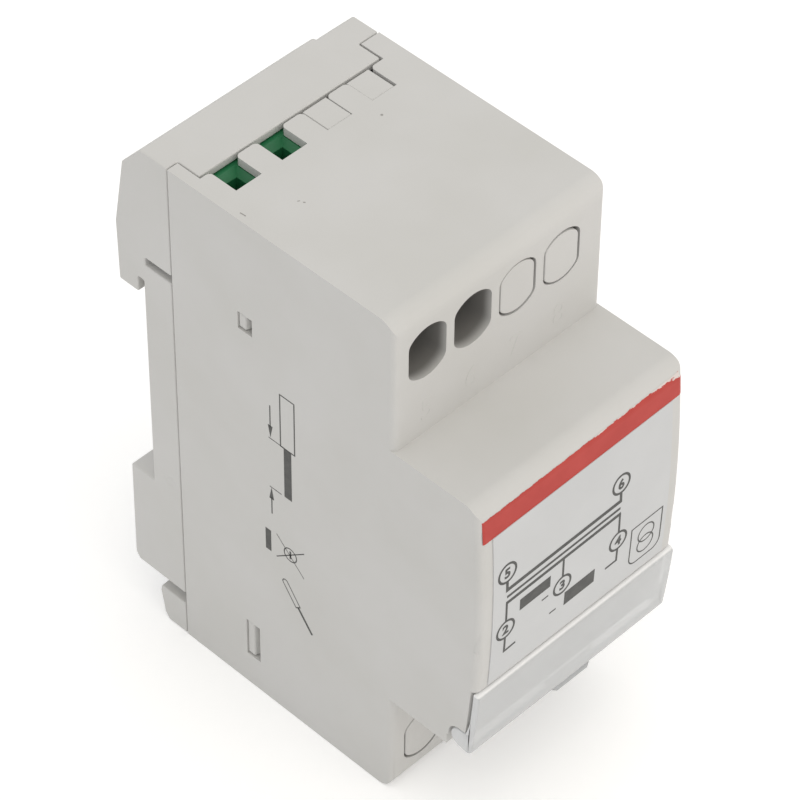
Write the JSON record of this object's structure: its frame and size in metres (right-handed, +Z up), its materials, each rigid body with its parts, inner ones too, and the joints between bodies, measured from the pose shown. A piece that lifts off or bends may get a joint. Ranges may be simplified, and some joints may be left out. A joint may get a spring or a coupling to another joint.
{
  "type": "bell transformer",
  "caption": "Narrow rail-mounted bell transformer in a light grey housing with a stepped hood, screw terminals above and below, and a clear hinged label flap.",
  "frame": {"origin": "centre of the face that seats on the mounting rail", "axes": "+Y out of the back towards the rail, +Z up, +X to the right as seen from the front"},
  "size_m": [0.0358, 0.0629, 0.0834],
  "materials": {
    "housing_plastic": "fine moulded texture, light grey",
    "clip_plastic": "smooth light grey",
    "clear_plastic": "clear, polished",
    "label_film": "printed film",
    "band_ink": "gloss red print",
    "board_laminate": "resist over glass laminate",
    "core_steel": "stacked sheets",
    "bobbin_plastic": "natural",
    "winding_copper": "enamelled wire",
    "coil_tape": "film tape",
    "tinned_pin": "tinned",
    "fuse_coating": "dipped coating",
    "terminal_plastic": "smooth green",
    "contact_brass": "plain",
    "screw_steel": "zinc plated",
    "clamp_steel": "zinc plated",
    "spring_steel": "plain wire"
  },
  "bodies": {
    "housing": {"front_cover": "housing_plastic", "rear_base": "housing_plastic", "clip_spring": "spring_steel", "front_label": "label_film", "front_band": "band_ink", "circuit_board": "board_laminate", "laminated_core": "core_steel", "bobbin": "bobbin_plastic", "primary_winding": "winding_copper", "secondary_winding": "winding_copper", "primary_tape": "coil_tape", "secondary_tape": "coil_tape", "bobbin_pins": "tinned_pin", "thermal_fuse": "fuse_coating", "terminal_block_top": "terminal_plastic", "terminal_block_bottom": "terminal_plastic", "terminal_contacts_top": "contact_brass", "terminal_contacts_bottom": "contact_brass", "blank_insert_1": "housing_plastic", "blank_insert_7": "housing_plastic", "blank_insert_8": "housing_plastic"},
    "clip": {"rail_clip": "clip_plastic"},
    "flap": {"label_flap": "clear_plastic"},
    "screw_5": {"terminal_screw_5": "screw_steel"},
    "clamp_5": {"wire_clamp_5": "clamp_steel"},
    "screw_6": {"terminal_screw_6": "screw_steel"},
    "clamp_6": {"wire_clamp_6": "clamp_steel"},
    "screw_2": {"terminal_screw_2": "screw_steel"},
    "clamp_2": {"wire_clamp_2": "clamp_steel"},
    "screw_3": {"terminal_screw_3": "screw_steel"},
    "clamp_3": {"wire_clamp_3": "clamp_steel"},
    "screw_4": {"terminal_screw_4": "screw_steel"},
    "clamp_4": {"wire_clamp_4": "clamp_steel"}
  },
  "joints": [
    {"name": "flap_hinge", "type": "hinge", "parent": "housing", "child": "flap", "pos_m": [0, -0.0552, -0.0232], "axis": [1, 0, 0], "range_deg": [0, 90]},
    {"name": "clip_slide", "type": "slide", "parent": "housing", "child": "clip", "axis": [0, 0, -1], "range_m": [0, 0.004], "stiffness_N_per_m": 900, "springref_m": -0.002, "deforming": ["clip_spring"]},
    {"name": "screw_5_turn", "type": "hinge", "parent": "housing", "child": "screw_5", "pos_m": [-0.0125, -0.0136, 0.03255], "axis": [0, 1, 0], "range_deg": [0, 1440.5]},
    {"name": "clamp_5_slide", "type": "slide", "parent": "housing", "child": "clamp_5", "axis": [0, -1, 0], "range_m": [0, 0.002]},
    {"name": "screw_6_turn", "type": "hinge", "parent": "housing", "child": "screw_6", "pos_m": [-0.00488, -0.0136, 0.03255], "axis": [0, 1, 0], "range_deg": [0, 1440.5]},
    {"name": "clamp_6_slide", "type": "slide", "parent": "housing", "child": "clamp_6", "axis": [0, -1, 0], "range_m": [0, 0.002]},
    {"name": "screw_2_turn", "type": "hinge", "parent": "housing", "child": "screw_2", "pos_m": [-0.00488, -0.0136, -0.03615], "axis": [0, 1, 0], "range_deg": [0, 1440.5]},
    {"name": "clamp_2_slide", "type": "slide", "parent": "housing", "child": "clamp_2", "axis": [0, -1, 0], "range_m": [0, 0.002]},
    {"name": "screw_3_turn", "type": "hinge", "parent": "housing", "child": "screw_3", "pos_m": [0.00274, -0.0136, -0.03615], "axis": [0, 1, 0], "range_deg": [0, 1440.5]},
    {"name": "clamp_3_slide", "type": "slide", "parent": "housing", "child": "clamp_3", "axis": [0, -1, 0], "range_m": [0, 0.002]},
    {"name": "screw_4_turn", "type": "hinge", "parent": "housing", "child": "screw_4", "pos_m": [0.01036, -0.0136, -0.03615], "axis": [0, 1, 0], "range_deg": [0, 1440.5]},
    {"name": "clamp_4_slide", "type": "slide", "parent": "housing", "child": "clamp_4", "axis": [0, -1, 0], "range_m": [0, 0.002]}
  ],
  "couplings": [
    {"joint": "screw_5_turn", "follows": "clamp_5_slide", "rad_per_m": 12566},
    {"joint": "screw_6_turn", "follows": "clamp_6_slide", "rad_per_m": 12566},
    {"joint": "screw_2_turn", "follows": "clamp_2_slide", "rad_per_m": 12566},
    {"joint": "screw_3_turn", "follows": "clamp_3_slide", "rad_per_m": 12566},
    {"joint": "screw_4_turn", "follows": "clamp_4_slide", "rad_per_m": 12566}
  ]
}
